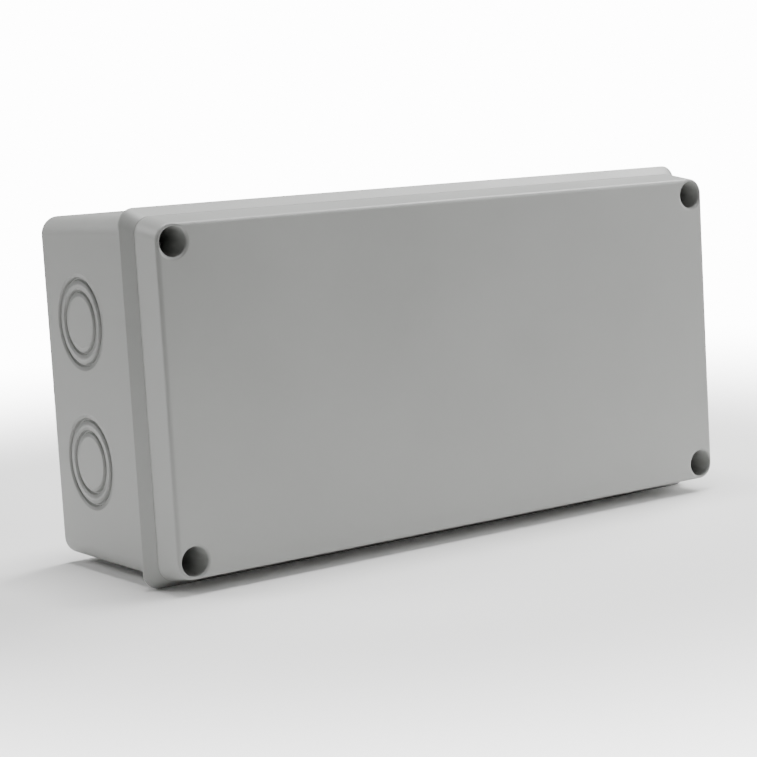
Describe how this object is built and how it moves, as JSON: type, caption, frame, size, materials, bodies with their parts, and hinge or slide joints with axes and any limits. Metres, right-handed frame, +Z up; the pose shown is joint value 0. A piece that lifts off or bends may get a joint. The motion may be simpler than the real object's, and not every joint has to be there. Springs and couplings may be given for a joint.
{
  "type": "weatherproof enclosure",
  "caption": "Wall-mounted weatherproof junction box with a deep lift-off lid, sealing gasket, quarter-turn lid screws in wells and round knockouts in its sides.",
  "frame": {"origin": "centre of the wall face, in its plane", "axes": "+X along the length, -Y out of the lid's face, +Z up when the box hangs on a wall with its long side level"},
  "size_m": [0.2064, 0.07, 0.106],
  "materials": {
    "housing_plastic": "moulded light grey plastic with a fine spark-eroded texture",
    "lid_plastic": "moulded light grey plastic with a fine spark-eroded texture, smoother than the base",
    "seal_rubber": "black foamed rubber",
    "screw_plastic": "dark grey glass-filled plastic, satin",
    "washer_rubber": "black rubber",
    "cap_plastic": "soft grey plastic"
  },
  "bodies": {
    "base_body": {"base": "housing_plastic", "gasket": "seal_rubber", "fixing_cap_top_left": "cap_plastic", "fixing_cap_top_right": "cap_plastic", "fixing_cap_bottom_left": "cap_plastic", "fixing_cap_bottom_right": "cap_plastic"},
    "lid_body": {"lid": "lid_plastic"},
    "screw_top_left": {"lid_screw_top_left": "screw_plastic", "retaining_washer_top_left": "washer_rubber"},
    "screw_top_right": {"lid_screw_top_right": "screw_plastic", "retaining_washer_top_right": "washer_rubber"},
    "screw_bottom_left": {"lid_screw_bottom_left": "screw_plastic", "retaining_washer_bottom_left": "washer_rubber"},
    "screw_bottom_right": {"lid_screw_bottom_right": "screw_plastic", "retaining_washer_bottom_right": "washer_rubber"}
  },
  "joints": [
    {"name": "lid_slide", "type": "slide", "parent": "base_body", "child": "lid_body", "axis": [0, -1, 0], "range_m": [0, 0.1]},
    {"name": "screw_turn_top_left", "type": "hinge", "parent": "lid_body", "child": "screw_top_left", "pos_m": [-0.0954, -0.056, 0.04365], "axis": [0, 1, 0], "range_deg": [0, 90]},
    {"name": "screw_turn_top_right", "type": "hinge", "parent": "lid_body", "child": "screw_top_right", "pos_m": [0.0954, -0.056, 0.04365], "axis": [0, 1, 0], "range_deg": [0, 90]},
    {"name": "screw_turn_bottom_left", "type": "hinge", "parent": "lid_body", "child": "screw_bottom_left", "pos_m": [-0.0954, -0.056, -0.04365], "axis": [0, 1, 0], "range_deg": [0, 90]},
    {"name": "screw_turn_bottom_right", "type": "hinge", "parent": "lid_body", "child": "screw_bottom_right", "pos_m": [0.0954, -0.056, -0.04365], "axis": [0, 1, 0], "range_deg": [0, 90]}
  ]
}
